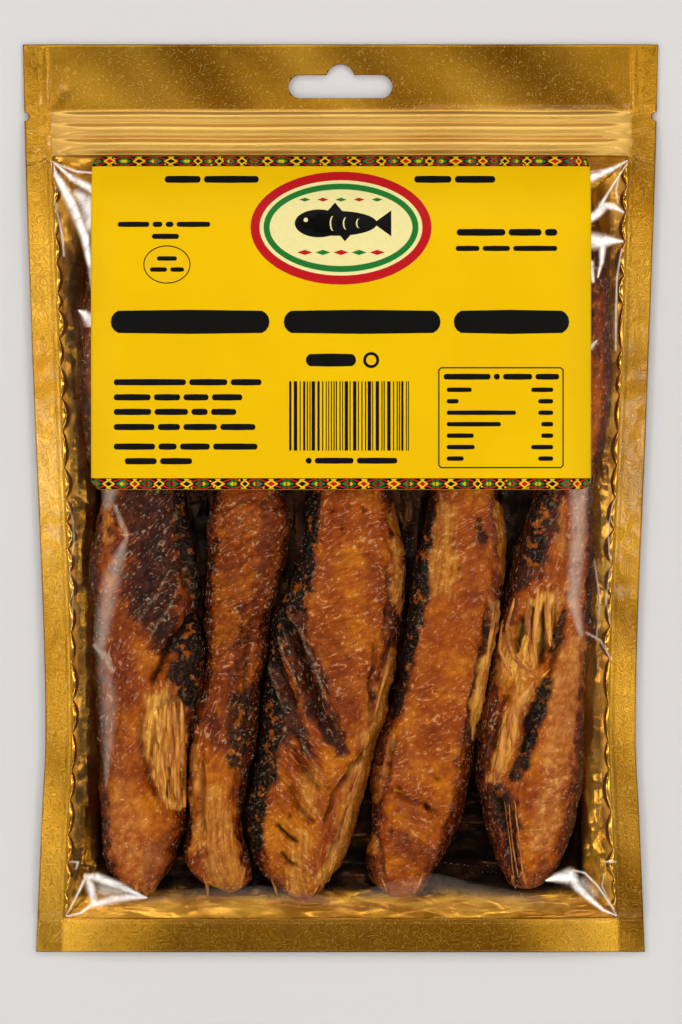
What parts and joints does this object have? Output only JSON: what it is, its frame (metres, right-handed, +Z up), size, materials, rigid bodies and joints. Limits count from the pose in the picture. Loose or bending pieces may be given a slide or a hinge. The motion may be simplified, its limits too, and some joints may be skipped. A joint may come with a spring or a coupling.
{
  "type": "pouch of dried catfish fillets",
  "caption": "Flat zip pouch with a clear front over long dried fish fillets, foil seals and back, a paper label, tear notches and a hang slot in the header.",
  "frame": {"origin": "centre of the outer box's bottom, on the table under the foil back", "axes": "+X across the pack, +Y from the foot seal to the header, +Z up through the clear side"},
  "size_m": [0.18, 0.257, 0.0178],
  "materials": {
    "foil": "gold metallised film, fine embossed grain",
    "label": "printed yellow label, satin",
    "film": "clear glossy film",
    "fish": "dried smoked fish flesh with a light oily sheen"
  },
  "bodies": {
    "root": {"pouch": "foil", "label": "label"}
  },
  "joints": []
}
